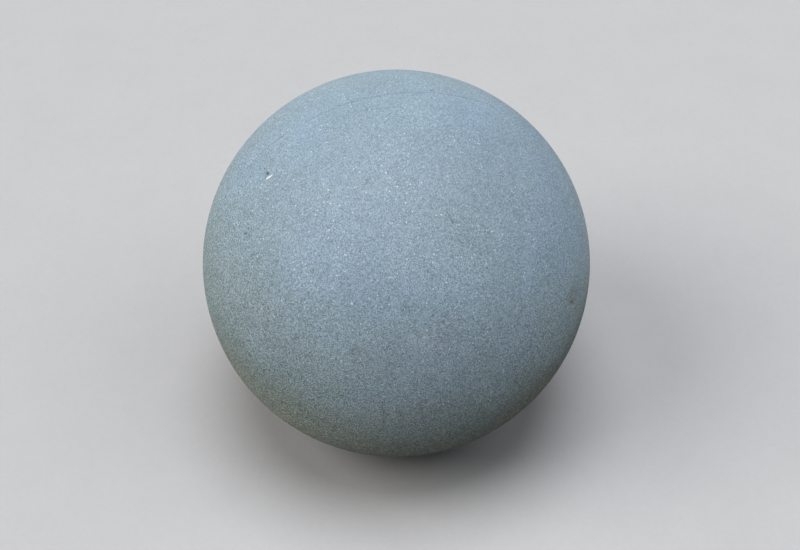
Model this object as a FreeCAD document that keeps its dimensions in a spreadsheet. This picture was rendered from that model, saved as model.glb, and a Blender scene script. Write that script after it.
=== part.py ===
import FreeCAD, Part
import Sketcher
import math
import os

# A cast stone ball for a garden or a forecourt, in millimetres, +Z up.
#
# The origin is the centre of the flat seat that the ball rests on. The ball is cast in two hollow halves
# around light foam cores, then bonded on a thin mortar joint with dowels across it. The joint is a great
# circle whose plane leans back from the vertical, so the threaded socket in the seat lies wholly in the
# back half. Each half has a small cage of bars: two hoops round the pole and two stirrups over it.
#
# Each half and everything cast into it is drawn in the half's own frame: its origin is the ball's centre,
# its XY plane is the joint, and its +Z runs to the half's pole. The back half's frame is the front half's
# frame turned half a turn about X.

DIMENSIONS = (
    ("ball_radius", 250.0, "outer radius of the ball"),
    ("centre_height", 238.5, "height of the ball's centre above its seat"),
    ("joint_lean", 9.5, "lean of the joint's plane from the vertical, degrees"),
    ("joint_gap", 1.6, "thickness of the mortar joint"),
    ("arris_radius", 0.6, "rounding of each half's rim at the joint"),
    ("mortar_recess", 0.5, "depth of the mortar below the ball's surface"),
    ("core_radius", 140.0, "radius of the hollow that holds the foam cores"),
    ("fit_gap", 0.05, "clearance between a cast-in piece and its bed"),
    ("cutter_margin", 10.0, "how far a cutting shape reaches past what it cuts"),
    ("dowel_radius", 6.0, "radius of a joint dowel"),
    ("dowel_reach", 50.0, "length of a dowel on each side of the joint"),
    ("dowel_chamfer", 1.0, "chamfer on a dowel's ends"),
    ("dowel_circle", 180.0, "radius of the circle that the dowels stand on"),
    ("dowel_count", 6, "number of dowels"),
    ("sleeve_radius", 9.0, "outer radius of a dowel's resin sleeve"),
    ("sleeve_depth", 58.0, "depth of a resin sleeve from the joint's plane"),
    ("bar_radius", 3.0, "radius of the reinforcing bar"),
    ("hoop_reach", 214.0, "distance of the hoops' bar from the ball's centre"),
    ("rim_hoop_offset", 65.0, "distance of the rim hoop from the joint's plane"),
    ("crown_hoop_offset", 160.0, "distance of the crown hoop from the joint's plane"),
    ("outer_stirrup_radius", 206.0, "bend radius of the outer stirrup"),
    ("inner_stirrup_radius", 198.0, "bend radius of the inner stirrup"),
    ("stirrup_end_angle", 8.0, "angle between a stirrup's end and the joint's plane"),
    ("stirrup_turn", 45.0, "turn of the stirrups about the pole"),
    ("stirrup_end_play", 0.05, "extra sweep of a stirrup's bed past its end, degrees"),
    ("spacer_radius", 12.5, "radius of a core spacer"),
    ("spacer_gap", 0.5, "gap between a core spacer and the crown hoop"),
    ("spacer_count", 4, "number of core spacers in a half"),
    ("recess_radius", 19.0, "radius of the cap's recess in the seat"),
    ("recess_depth", 9.0, "depth of the cap's recess"),
    ("socket_radius", 10.65, "outer radius of the threaded socket"),
    ("socket_length", 64.0, "length of the threaded socket"),
    ("socket_chamfer", 0.8, "chamfer round the socket's mouth"),
    ("thread_depth", 38.0, "depth of the socket's threaded hole"),
    ("cross_bar_radius", 6.0, "radius of the socket's cross bar"),
    ("cross_bar_length", 140.0, "length of the socket's cross bar"),
    ("cross_bar_height", 58.0, "height of the cross bar above the seat"),
    ("cross_bar_play", 0.25, "clearance between the cross bar and its hole in the socket"),
    ("cap_set_back", 1.0, "distance of the cap's face above the seat"),
    ("cap_clearance", 0.08, "clearance round the cap in its recess"),
    ("cap_plate", 2.4, "thickness of the cap's plate"),
    ("cap_height", 7.0, "height of the cap"),
    ("cap_wall", 1.8, "thickness of the cap's skirt"),
    ("cap_rounding", 0.8, "rounding of the cap's outer edge"),
    ("cap_slot_width", 3.0, "width of the slot that the cap is levered out by"),
    ("cap_slot_length", 20.0, "length of the cap's slot"),
    ("cap_slot_depth", 1.2, "depth of the cap's slot"),
)

ORIGIN = -1
H_AXIS = -1
V_AXIS = -2
START = 1
END = 2
CENTRE = 3
X_DIRECTION = FreeCAD.Vector(1, 0, 0)
Y_DIRECTION = FreeCAD.Vector(0, 1, 0)
Z_DIRECTION = FreeCAD.Vector(0, 0, 1)

# The turn of each half's frame about X, and the turn that brings its sketches upright again.
TURNS = {"front": "90 - dims.joint_lean", "back": "-90 - dims.joint_lean"}
UPRIGHT_TURNS = {"front": "dims.joint_lean - 90", "back": "dims.joint_lean + 90"}

# Smaller lengths than this count as nothing, and smaller volumes too.
TOLERANCE = 1e-3

doc = FreeCAD.newDocument("cast_stone_ball")
dims = doc.addObject("Spreadsheet::Sheet", "dims")
nodes = []


def fill_sheet():
    """Write the driving dimensions, one to a row: name, value and meaning."""
    for row, (alias, value, meaning) in enumerate(DIMENSIONS, start=1):
        dims.set(f"A{row}", alias)
        dims.set(f"B{row}", str(value))
        dims.set(f"C{row}", meaning)
        dims.setAlias(f"B{row}", alias)
    doc.recompute()


def value_of(expression):
    """The present value of an expression, as a plain number."""
    result = dims.evalExpression(expression)
    return float(getattr(result, "Value", result))


def new_body(label):
    """An empty body whose label names its node."""
    body = doc.addObject("PartDesign::Body", label)
    body.Label = label
    nodes.append(body)
    return body


def place_in_half(body, side):
    """Put a body drawn in a half's frame where that half stands in the ball."""
    start_turn = value_of(TURNS[side])
    body.Placement = FreeCAD.Placement(Z_DIRECTION, FreeCAD.Rotation(X_DIRECTION, start_turn))
    body.setExpression("Placement.Base.z", "dims.centre_height")
    body.setExpression("Placement.Rotation.Angle", TURNS[side])


def origin_feature(body, role):
    """A body's own origin plane or axis."""
    for feature in body.Origin.OriginFeatures:
        if feature.Role == role:
            return feature
    raise RuntimeError(f"{body.Label} has no {role}")


def new_sketch(body, name, role, turn_axis=None, turn=None):
    """A sketch on one of the body's origin planes, turned about one of its own axes if a turn is given."""
    sketch = body.newObject("Sketcher::SketchObject", f"{body.Label}_{name}")
    sketch.AttachmentSupport = [(origin_feature(body, role), "")]
    sketch.MapMode = "FlatFace"
    if turn is not None:
        start_turn = FreeCAD.Rotation(turn_axis, value_of(turn))
        sketch.AttachmentOffset = FreeCAD.Placement(FreeCAD.Vector(0, 0, 0), start_turn)
        sketch.setExpression("AttachmentOffset.Rotation.Angle", turn)
    return sketch


def bind(sketch, kind, *references, expression):
    """Add a dimension to a sketch and bind it to an expression."""
    index = sketch.addConstraint(Sketcher.Constraint(kind, *references, value_of(expression)))
    sketch.setExpression(f"Constraints[{index}]", expression)


def hold(sketch, geometry, point, across, up):
    """Hold a point at its distances from the sketch's origin."""
    for kind, expression, zero_axis in (("DistanceX", across, V_AXIS), ("DistanceY", up, H_AXIS)):
        if expression == "0":
            sketch.addConstraint(Sketcher.Constraint("PointOnObject", geometry, point, zero_axis))
        else:
            bind(sketch, kind, ORIGIN, START, geometry, point, expression=expression)


def join_ends(sketch, pairs):
    """Join the end of each first line or arc to the start or end of its partner."""
    for first, first_point, second, second_point in pairs:
        sketch.addConstraint(Sketcher.Constraint("Coincident", first, first_point, second, second_point))


def draw_polygon(sketch, corners):
    """Draw a closed outline of straight lines with its corners at the given distances."""
    places = [FreeCAD.Vector(value_of(across), value_of(up), 0) for across, up in corners]
    lines = []
    for start, end in zip(places, places[1:] + places[:1]):
        lines.append(sketch.addGeometry(Part.LineSegment(start, end), False))
    join_ends(sketch, [(one, END, two, START) for one, two in zip(lines, lines[1:] + lines[:1])])
    for line, (across, up) in zip(lines, corners):
        hold(sketch, line, START, across, up)


def draw_circle(sketch, across, up, radius):
    """Draw a circle of the given radius about a held centre."""
    centre = FreeCAD.Vector(value_of(across), value_of(up), 0)
    circle = sketch.addGeometry(Part.Circle(centre, Z_DIRECTION, value_of(radius)), False)
    hold(sketch, circle, CENTRE, across, up)
    bind(sketch, "Radius", circle, expression=radius)


def draw_quarter_arc(sketch, radius, base):
    """Draw an arc about the origin, from the height of the base up to the sketch's vertical axis."""
    full = Part.Circle(FreeCAD.Vector(0, 0, 0), Z_DIRECTION, value_of(radius))
    start_angle = math.asin(value_of(base) / value_of(radius))
    arc = sketch.addGeometry(Part.ArcOfCircle(full, start_angle, math.pi / 2), False)
    sketch.addConstraint(Sketcher.Constraint("Coincident", arc, CENTRE, ORIGIN, START))
    sketch.addConstraint(Sketcher.Constraint("PointOnObject", arc, END, V_AXIS))
    bind(sketch, "DistanceY", ORIGIN, START, arc, START, expression=base)
    bind(sketch, "Radius", arc, expression=radius)
    return arc


def add_line(sketch, start, end):
    """Add a line between two points that other constraints hold."""
    return sketch.addGeometry(Part.LineSegment(start, end), False)


def draw_quarter_ring(sketch, inner, outer, base):
    """Draw a quarter of a ring about the origin, closed level at the height of the base."""
    outer_arc = draw_quarter_arc(sketch, outer, base)
    inner_arc = draw_quarter_arc(sketch, inner, base)
    outer_curve = sketch.Geometry[outer_arc]
    inner_curve = sketch.Geometry[inner_arc]
    level = add_line(sketch, inner_curve.StartPoint, outer_curve.StartPoint)
    upright = add_line(sketch, outer_curve.EndPoint, inner_curve.EndPoint)
    pairs = (
        (level, START, inner_arc, START),
        (level, END, outer_arc, START),
        (upright, START, outer_arc, END),
        (upright, END, inner_arc, END),
    )
    join_ends(sketch, pairs)


def draw_quarter_disc(sketch, radius, base):
    """Draw a quarter of a disc about the origin, closed level at the height of the base."""
    arc = draw_quarter_arc(sketch, radius, base)
    curve = sketch.Geometry[arc]
    foot = FreeCAD.Vector(0, value_of(base), 0)
    upright = add_line(sketch, curve.EndPoint, foot)
    level = add_line(sketch, foot, curve.StartPoint)
    pairs = ((upright, START, arc, END), (upright, END, level, START), (level, END, arc, START))
    join_ends(sketch, pairs)
    hold(sketch, upright, END, "0", base)


def finish_cut(feature):
    """Recompute a cut and make sure that it took material away."""
    doc.recompute()
    before = feature.BaseFeature.Shape.Volume
    after = feature.Shape.Volume
    if before - after < TOLERANCE:
        raise RuntimeError(f"{feature.Label} cuts nothing")


def revolve(body, sketch, axis="V_Axis", angle=None):
    """Revolve a sketch about one of its axes, a full turn or evenly to both sides."""
    feature = body.newObject("PartDesign::Revolution", f"{sketch.Label}_revolved")
    set_turn(feature, sketch, axis, angle)
    doc.recompute()
    return feature


def groove(body, sketch, axis="V_Axis", angle=None):
    """Cut away a sketch revolved about one of its axes."""
    feature = body.newObject("PartDesign::Groove", f"{sketch.Label}_grooved")
    set_turn(feature, sketch, axis, angle)
    finish_cut(feature)
    return feature


def set_turn(feature, sketch, axis, angle):
    """Give a revolution or groove its profile, axis and angle."""
    feature.Profile = sketch
    feature.ReferenceAxis = (sketch, [axis])
    feature.Angle = 360
    if angle is not None:
        feature.Midplane = True
        feature.setExpression("Angle", angle)
    sketch.Visibility = False


def pad(body, sketch, length, reverse=False, both_sides=False):
    """Pad a sketch by a bound length, along its normal, against it or evenly to both sides."""
    feature = body.newObject("PartDesign::Pad", f"{sketch.Label}_padded")
    set_length(feature, sketch, length, reverse, both_sides)
    doc.recompute()
    return feature


def pocket(body, sketch, length, reverse=False, both_sides=False):
    """Cut a sketch by a bound length, against its normal, along it or evenly to both sides."""
    feature = body.newObject("PartDesign::Pocket", f"{sketch.Label}_pocketed")
    set_length(feature, sketch, length, reverse, both_sides)
    finish_cut(feature)
    return feature


def set_length(feature, sketch, length, reverse, both_sides):
    """Give a pad or pocket its profile, length and direction."""
    feature.Profile = sketch
    feature.SideType = "Symmetric" if both_sides else "One side"
    feature.Reversed = reverse
    feature.setExpression("Length", length)
    sketch.Visibility = False


def repeat_round_pole(body, feature, count):
    """Repeat a feature evenly round the body's Z axis."""
    pattern = body.newObject("PartDesign::PolarPattern", f"{feature.Label}_round")
    pattern.Originals = [feature]
    pattern.Axis = (origin_feature(body, "Z_Axis"), [""])
    pattern.Angle = 360
    pattern.setExpression("Occurrences", count)
    body.Tip = pattern
    doc.recompute()
    return pattern


def draw_hoop(sketch, offset, growth):
    """Draw the section of a hoop at its distance from the joint's plane."""
    ring = f"sqrt(dims.hoop_reach ^ 2 - {offset} ^ 2)"
    draw_circle(sketch, ring, offset, f"dims.bar_radius + {growth}")


def draw_stirrup(sketch, bend_radius, growth):
    """Draw the section of a stirrup where it crosses the pole."""
    draw_circle(sketch, "0", bend_radius, f"dims.bar_radius + {growth}")


def stirrup_sketch(body, name, bend_radius, turn, growth):
    """Draw a stirrup's section on an upright plane turned about the pole."""
    sketch = new_sketch(body, name, "XZ_Plane", Y_DIRECTION, turn)
    draw_stirrup(sketch, bend_radius, growth)
    return sketch


def spacer_sketch(body, inner_reach, growth):
    """Draw half the section of a core spacer, with the sketch's vertical axis along the spacer."""
    turn = "asin(dims.crown_hoop_offset / dims.hoop_reach) - 90 deg"
    sketch = new_sketch(body, "spacer", "XZ_Plane", Z_DIRECTION, turn)
    radius = f"dims.spacer_radius + {growth}"
    outer_reach = f"dims.hoop_reach - dims.bar_radius - dims.spacer_gap + {growth}"
    corners = (("0", inner_reach), (radius, inner_reach), (radius, outer_reach), ("0", outer_reach))
    draw_polygon(sketch, corners)
    return sketch


STIRRUP_SWEEP = "180 - 2 * dims.stirrup_end_angle"
STIRRUPS = (
    ("outer_stirrup", "dims.outer_stirrup_radius", "dims.stirrup_turn"),
    ("inner_stirrup", "dims.inner_stirrup_radius", "-dims.stirrup_turn"),
)
HOOPS = (("rim_hoop", "dims.rim_hoop_offset"), ("crown_hoop", "dims.crown_hoop_offset"))


def cut_seat(body, side):
    """Cut a half level at the seat."""
    sketch = new_sketch(body, "seat", "YZ_Plane", Z_DIRECTION, UPRIGHT_TURNS[side])
    wide = "dims.ball_radius + dims.cutter_margin"
    low = "-dims.ball_radius - dims.cutter_margin"
    level = "-dims.centre_height"
    corners = ((f"-({wide})", low), (wide, low), (wide, level), (f"-({wide})", level))
    draw_polygon(sketch, corners)
    pocket(body, sketch, f"2 * ({wide})", both_sides=True)


def round_rim(body, shell):
    """Round the outer rim of a half at the joint, before anything else is cut into it."""
    for number, edge in enumerate(shell.Shape.Edges, start=1):
        box = edge.BoundBox
        is_level = box.ZLength < TOLERANCE
        if is_level and box.XLength > 2 * value_of("dims.ball_radius") - 1:
            rim = f"Edge{number}"
    rounding = body.newObject("PartDesign::Fillet", f"{body.Label}_rim_rounding")
    rounding.Base = (shell, [rim])
    rounding.setExpression("Radius", "dims.arris_radius")
    finish_cut(rounding)


def cut_dowel_holes(body):
    """Cut the holes that the resin sleeves fill."""
    sketch = new_sketch(body, "dowel_hole", "XY_Plane")
    draw_circle(sketch, "dims.dowel_circle", "0", "dims.sleeve_radius + dims.fit_gap")
    hole = pocket(body, sketch, "dims.sleeve_depth + dims.fit_gap", reverse=True)
    repeat_round_pole(body, hole, "dims.dowel_count")


def cut_bar_beds(body):
    """Cut the room that the hoops and stirrups take up in the cast material."""
    for name, offset in HOOPS:
        sketch = new_sketch(body, f"{name}_bed", "XZ_Plane")
        draw_hoop(sketch, offset, "dims.fit_gap")
        groove(body, sketch)
    for name, bend_radius, turn in STIRRUPS:
        sketch = stirrup_sketch(body, f"{name}_bed", bend_radius, turn, "dims.fit_gap")
        groove(body, sketch, "H_Axis", f"{STIRRUP_SWEEP} + dims.stirrup_end_play")


def cut_spacer_beds(body):
    """Cut the room that the core spacers take up, open to the hollow."""
    sketch = spacer_sketch(body, "dims.core_radius - dims.cutter_margin", "dims.fit_gap")
    bed = groove(body, sketch)
    repeat_round_pole(body, bed, "dims.spacer_count")


def cut_socket_bed(body, side):
    """Cut the cap's recess, the bed of the threaded socket above it and the bed of its cross bar."""
    sketch = new_sketch(body, "socket_bed", "YZ_Plane", Z_DIRECTION, UPRIGHT_TURNS[side])
    below = "-dims.centre_height - dims.cutter_margin"
    ledge = "-dims.centre_height + dims.recess_depth"
    top = f"{ledge} + dims.socket_length + dims.fit_gap"
    narrow = "dims.socket_radius + dims.fit_gap"
    corners = (
        ("0", below),
        ("dims.recess_radius", below),
        ("dims.recess_radius", ledge),
        (narrow, ledge),
        (narrow, top),
        ("0", top),
    )
    draw_polygon(sketch, corners)
    groove(body, sketch)
    cross = new_sketch(body, "cross_bar_bed", "YZ_Plane", Z_DIRECTION, UPRIGHT_TURNS[side])
    height = "-dims.centre_height + dims.cross_bar_height"
    draw_circle(cross, "0", height, "dims.cross_bar_radius + dims.fit_gap")
    pocket(body, cross, "dims.cross_bar_length + 2 * dims.fit_gap", both_sides=True)


def make_cast_half(side):
    """One hollow half of the ball, with a bed for each piece that is cast into it."""
    body = new_body(f"cast_half_{side}")
    sketch = new_sketch(body, "shell", "XZ_Plane")
    draw_quarter_ring(sketch, "dims.core_radius", "dims.ball_radius", "dims.joint_gap / 2")
    shell = revolve(body, sketch)
    round_rim(body, shell)
    cut_seat(body, side)
    cut_dowel_holes(body)
    cut_bar_beds(body)
    cut_spacer_beds(body)
    if side == "back":
        cut_socket_bed(body, side)
    place_in_half(body, side)


def make_joint_mortar():
    """The thin bed of mortar between the halves, with a hole for each dowel."""
    body = new_body("joint_mortar")
    sketch = new_sketch(body, "ring", "XY_Plane")
    draw_circle(sketch, "0", "0", "dims.ball_radius - dims.mortar_recess")
    draw_circle(sketch, "0", "0", "dims.core_radius + dims.fit_gap")
    pad(body, sketch, "dims.joint_gap - 2 * dims.fit_gap", both_sides=True)
    cut_seat(body, "front")
    hole_sketch = new_sketch(body, "dowel_hole", "XY_Plane")
    draw_circle(hole_sketch, "dims.dowel_circle", "0", "dims.dowel_radius + dims.fit_gap")
    hole = pocket(body, hole_sketch, "2 * dims.joint_gap", both_sides=True)
    repeat_round_pole(body, hole, "dims.dowel_count")
    place_in_half(body, "front")


def dowel_axis(sketch):
    """Add the centre line of the dowel that stands on the sketch's horizontal axis."""
    across = value_of("dims.dowel_circle")
    length = value_of("dims.sleeve_depth")
    line = Part.LineSegment(FreeCAD.Vector(across, 0, 0), FreeCAD.Vector(across, length, 0))
    axis = sketch.addGeometry(line, True)
    hold(sketch, axis, START, "dims.dowel_circle", "0")
    hold(sketch, axis, END, "dims.dowel_circle", "dims.sleeve_depth")


def make_joint_dowels():
    """The dowels across the joint, with chamfered ends."""
    body = new_body("joint_dowels")
    sketch = new_sketch(body, "dowel", "XZ_Plane")
    across = "dims.dowel_circle"
    side = f"{across} + dims.dowel_radius"
    inner = f"{side} - dims.dowel_chamfer"
    shoulder = "dims.dowel_reach - dims.dowel_chamfer"
    corners = (
        (across, "-dims.dowel_reach"),
        (inner, "-dims.dowel_reach"),
        (side, f"-({shoulder})"),
        (side, shoulder),
        (inner, "dims.dowel_reach"),
        (across, "dims.dowel_reach"),
    )
    draw_polygon(sketch, corners)
    dowel_axis(sketch)
    dowel = revolve(body, sketch, "Axis0")
    repeat_round_pole(body, dowel, "dims.dowel_count")
    place_in_half(body, "front")


def make_dowel_resin(side):
    """The resin round the dowels' ends in one half, each a cup closed at its far end."""
    body = new_body(f"dowel_resin_{side}")
    sketch = new_sketch(body, "cup", "XZ_Plane")
    across = "dims.dowel_circle"
    outer = f"{across} + dims.sleeve_radius"
    inner = f"{across} + dims.dowel_radius + dims.fit_gap"
    rim = "dims.joint_gap / 2"
    floor = "dims.dowel_reach + dims.fit_gap"
    corners = (
        (inner, rim),
        (outer, rim),
        (outer, "dims.sleeve_depth"),
        (across, "dims.sleeve_depth"),
        (across, floor),
        (inner, floor),
    )
    draw_polygon(sketch, corners)
    dowel_axis(sketch)
    cup = revolve(body, sketch, "Axis0")
    repeat_round_pole(body, cup, "dims.dowel_count")
    place_in_half(body, side)


def make_void_former(side):
    """The foam half core that leaves a half hollow."""
    body = new_body(f"void_former_{side}")
    sketch = new_sketch(body, "core", "XZ_Plane")
    draw_quarter_disc(sketch, "dims.core_radius - dims.fit_gap", "dims.fit_gap")
    revolve(body, sketch)
    place_in_half(body, side)


def make_bars(side):
    """The cage of a half: two hoops round its pole and two stirrups crossing over it."""
    for name, offset in HOOPS:
        body = new_body(f"{name}_{side}")
        sketch = new_sketch(body, "section", "XZ_Plane")
        draw_hoop(sketch, offset, "0")
        revolve(body, sketch)
        place_in_half(body, side)
    for name, bend_radius, turn in STIRRUPS:
        body = new_body(f"{name}_{side}")
        sketch = stirrup_sketch(body, "section", bend_radius, turn, "0")
        revolve(body, sketch, "H_Axis", STIRRUP_SWEEP)
        place_in_half(body, side)


def make_core_spacers(side):
    """The mortar blocks that hold the foam core at its distance from the cage."""
    body = new_body(f"core_spacers_{side}")
    sketch = spacer_sketch(body, "dims.core_radius + dims.fit_gap", "0")
    spacer = revolve(body, sketch)
    repeat_round_pole(body, spacer, "dims.spacer_count")
    place_in_half(body, side)


def edges_at_base(feature):
    """The names of a feature's edges that lie level at its base."""
    boxes = [edge.BoundBox for edge in feature.Shape.Edges]
    low = [abs(box.ZMin) < TOLERANCE and box.ZLength < TOLERANCE for box in boxes]
    return [f"Edge{number}" for number, chosen in enumerate(low, start=1) if chosen]


def make_lifting_socket():
    """The threaded steel socket, drawn mouth up below its origin and set mouth down in the seat."""
    body = new_body("lifting_socket")
    outline = new_sketch(body, "outline", "XY_Plane")
    draw_circle(outline, "0", "0", "dims.socket_radius")
    barrel = pad(body, outline, "dims.socket_length", reverse=True)
    mouth = body.newObject("PartDesign::Chamfer", "lifting_socket_mouth_chamfer")
    mouth.Base = (barrel, edges_at_base(barrel))
    mouth.setExpression("Size", "dims.socket_chamfer")
    finish_cut(mouth)
    centre = new_sketch(body, "thread_centre", "XY_Plane")
    draw_circle(centre, "0", "0", "dims.socket_radius / 2")
    thread = body.newObject("PartDesign::Hole", "lifting_socket_thread")
    thread.Profile = centre
    thread.ThreadType = "ISOMetricProfile"
    thread.ThreadSize = "M16x2.0"
    thread.Threaded = True
    thread.DepthType = "Dimension"
    thread.DrillPoint = "Flat"
    thread.setExpression("Depth", "dims.thread_depth")
    finish_cut(thread)
    cross = new_sketch(body, "cross_hole", "YZ_Plane")
    height = "dims.recess_depth - dims.cross_bar_height"
    draw_circle(cross, "0", height, "dims.cross_bar_radius + dims.cross_bar_play")
    pocket(body, cross, "2 * (dims.socket_radius + dims.cutter_margin)", both_sides=True)
    body.Placement = FreeCAD.Placement(Z_DIRECTION, FreeCAD.Rotation(X_DIRECTION, 180))
    body.setExpression("Placement.Base.z", "dims.recess_depth")


def make_socket_cross_bar():
    """The bar through the socket that anchors it in the cast material."""
    body = new_body("socket_cross_bar")
    sketch = new_sketch(body, "section", "YZ_Plane")
    draw_circle(sketch, "0", "0", "dims.cross_bar_radius")
    pad(body, sketch, "dims.cross_bar_length", both_sides=True)
    body.Placement = FreeCAD.Placement(Z_DIRECTION, FreeCAD.Rotation())
    body.setExpression("Placement.Base.z", "dims.cross_bar_height")


def make_socket_cap():
    """The cap that closes the recess in the seat: a plate with a skirt and a slot to lever it out by."""
    body = new_body("socket_cap")
    sketch = new_sketch(body, "section", "XZ_Plane")
    outer = "dims.recess_radius - dims.cap_clearance"
    inner = f"{outer} - dims.cap_wall"
    corners = (
        ("0", "0"),
        (outer, "0"),
        (outer, "dims.cap_height"),
        (inner, "dims.cap_height"),
        (inner, "dims.cap_plate"),
        ("0", "dims.cap_plate"),
    )
    draw_polygon(sketch, corners)
    cup = revolve(body, sketch)
    rounding = body.newObject("PartDesign::Fillet", "socket_cap_rounding")
    rounding.Base = (cup, edges_at_base(cup))
    rounding.setExpression("Radius", "dims.cap_rounding")
    finish_cut(rounding)
    slot = new_sketch(body, "slot", "XY_Plane")
    half_length = "dims.cap_slot_length / 2"
    half_width = "dims.cap_slot_width / 2"
    slot_corners = (
        (f"-{half_length}", f"-{half_width}"),
        (half_length, f"-{half_width}"),
        (half_length, half_width),
        (f"-{half_length}", half_width),
    )
    draw_polygon(slot, slot_corners)
    pocket(body, slot, "dims.cap_slot_depth", reverse=True)
    body.Placement = FreeCAD.Placement(Z_DIRECTION, FreeCAD.Rotation())
    body.setExpression("Placement.Base.z", "dims.cap_set_back")


def check_document():
    """Stop if any object failed or any node's shape isn't sound."""
    for item in doc.Objects:
        if "Invalid" in item.State or "Error" in item.State:
            raise RuntimeError(f"{item.Label} failed: {item.State}")
    for body in nodes:
        shape = body.Shape
        if shape.isNull() or not shape.isValid() or not shape.Solids:
            raise RuntimeError(f"{body.Label} has no sound shape")


def write_nodes():
    """Write each node's shape, in the ball's frame, to its own file."""
    os.makedirs("parts", exist_ok=True)
    for body in nodes:
        body.Shape.exportStep(f"parts/{body.Label}.step")
        print(f"{body.Label}: {len(body.Shape.Solids)} solids, {body.Shape.Volume / 1000:.1f} cm3")


fill_sheet()
for half in ("front", "back"):
    make_cast_half(half)
make_joint_mortar()
make_joint_dowels()
for half in ("front", "back"):
    make_dowel_resin(half)
    make_void_former(half)
    make_bars(half)
    make_core_spacers(half)
make_lifting_socket()
make_socket_cross_bar()
make_socket_cap()
doc.recompute()
check_document()
write_nodes()
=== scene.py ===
import math
from collections import namedtuple

import bmesh
import bpy
import numpy as np
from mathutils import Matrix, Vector


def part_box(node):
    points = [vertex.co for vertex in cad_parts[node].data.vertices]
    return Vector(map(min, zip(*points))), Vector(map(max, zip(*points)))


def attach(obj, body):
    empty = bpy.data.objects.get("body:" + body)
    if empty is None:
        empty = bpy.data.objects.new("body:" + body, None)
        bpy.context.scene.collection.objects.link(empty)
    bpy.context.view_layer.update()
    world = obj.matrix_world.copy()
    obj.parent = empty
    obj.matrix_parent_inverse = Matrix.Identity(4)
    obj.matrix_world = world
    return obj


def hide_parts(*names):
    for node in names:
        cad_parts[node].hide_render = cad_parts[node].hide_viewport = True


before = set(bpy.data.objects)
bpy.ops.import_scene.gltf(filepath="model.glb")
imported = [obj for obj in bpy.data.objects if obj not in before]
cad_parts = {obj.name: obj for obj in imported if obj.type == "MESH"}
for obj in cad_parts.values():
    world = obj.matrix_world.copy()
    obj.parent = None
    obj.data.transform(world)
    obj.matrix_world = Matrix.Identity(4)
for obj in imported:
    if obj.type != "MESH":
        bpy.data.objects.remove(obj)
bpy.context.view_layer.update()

# A weathered cast stone ball. The two cast halves and the mortar joint between them get detailed meshes of
# their own here: sandy relief, casting pinholes, a chip, a scratch and an uneven joint. The pieces cast
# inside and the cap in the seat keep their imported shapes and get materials. Lengths are in metres.

MM = 0.001

# Thicknesses and clearances that the part is made with, and how far a cutting shape reaches past it.
JOINT_GAP = 1.6 * MM
FIT_GAP = 0.05 * MM
CAP_CLEARANCE = 0.08 * MM
CUT_MARGIN = 5.0 * MM


def box_high(node):
    """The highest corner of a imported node's box."""
    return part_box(node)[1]


# Sizes that follow from the frame.
BALL_RADIUS = round(box_high("cast_half_front").x, 3)
CENTRE_HEIGHT = round(box_high("cast_half_front").z - BALL_RADIUS, 4)
CORE_RADIUS = round(box_high("void_former_front").x, 3)
JOINT_LEAN = math.asin(box_high("void_former_front").y / box_high("void_former_front").x)
CENTRE = np.array([0.0, 0.0, CENTRE_HEIGHT])
RECESS_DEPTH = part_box("lifting_socket")[0].z
RECESS_RADIUS = box_high("socket_cap").x + CAP_CLEARANCE
SOCKET_TOP = box_high("lifting_socket").z + FIT_GAP
SOCKET_RADIUS = box_high("lifting_socket").x + FIT_GAP

# The halves' frames: X is shared, and each pole is square to the joint's plane.
X_AXIS = np.array([1.0, 0.0, 0.0])
FRONT_POLE = np.array([0.0, -math.cos(JOINT_LEAN), math.sin(JOINT_LEAN)])

# How finely the meshes are divided.
GRID_CELLS = 224
FINE_STEPS = 4
FINE_MARGIN = 2.6 * MM
RING_POINTS = 128
CAVITY_RINGS = 18
MORTAR_POINTS = 1440
LATHE_STEPS = 96
SHARP_ANGLE = math.radians(35)

# The worn edges: each half's rim at the joint, with rings of points at these millimetres above the joint's
# face and at these shares of the way in from the rim to the hollow, and the edge of the seat.
FACE_HEIGHT = JOINT_GAP / 2
RIM_BAND = 3.0 * MM
RIM_LEVELS = (2.2, 1.5, 1.0, 0.65, 0.35, 0.12, 0.0)
FACE_SHARES = (0.02, 0.10)
ARRIS_RADIUS = 0.18 * MM
SEAT_ROUNDING = 2.5 * MM

# The skin's mean surface lies this far inside the ball's size, which leaves room for its relief.
RELIEF_ROOM = 0.30 * MM

PINHOLES_PER_HALF = 46
SEED = 20

Mark = namedtuple("Mark", "azimuth elevation length width turn depth", defaults=(0.0,))


def smooth(low, high, value):
    """0 below low, 1 above high and an S-curve between them."""
    t = np.clip((value - low) / (high - low), 0.0, 1.0)
    return t * t * (3.0 - 2.0 * t)


def direction(azimuth, elevation):
    """The unit vector at degrees round from the front towards +X, and degrees above the horizon."""
    a, e = math.radians(azimuth), math.radians(elevation)
    return np.array([math.sin(a) * math.cos(e), -math.cos(a) * math.cos(e), math.sin(e)])


def mark_axes(mark):
    """A mark's middle, the direction along its length and the direction across it."""
    middle = direction(mark.azimuth, mark.elevation)
    a = math.radians(mark.azimuth)
    east = np.array([math.cos(a), math.sin(a), 0.0])
    north = np.cross(middle, east)
    turn = math.radians(mark.turn)
    along = math.cos(turn) * east + math.sin(turn) * north
    return middle, along, np.cross(middle, along)


def mark_distance(mark, directions):
    """How far each direction is from a mark's middle, where 1 is the mark's edge."""
    middle, along, across = mark_axes(mark)
    u = directions @ along * BALL_RADIUS / (mark.length / 2)
    v = directions @ across * BALL_RADIUS / (mark.width / 2)
    far = np.where(directions @ middle > 0, 0.0, 100.0)
    return np.sqrt(u * u + v * v) + far


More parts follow.
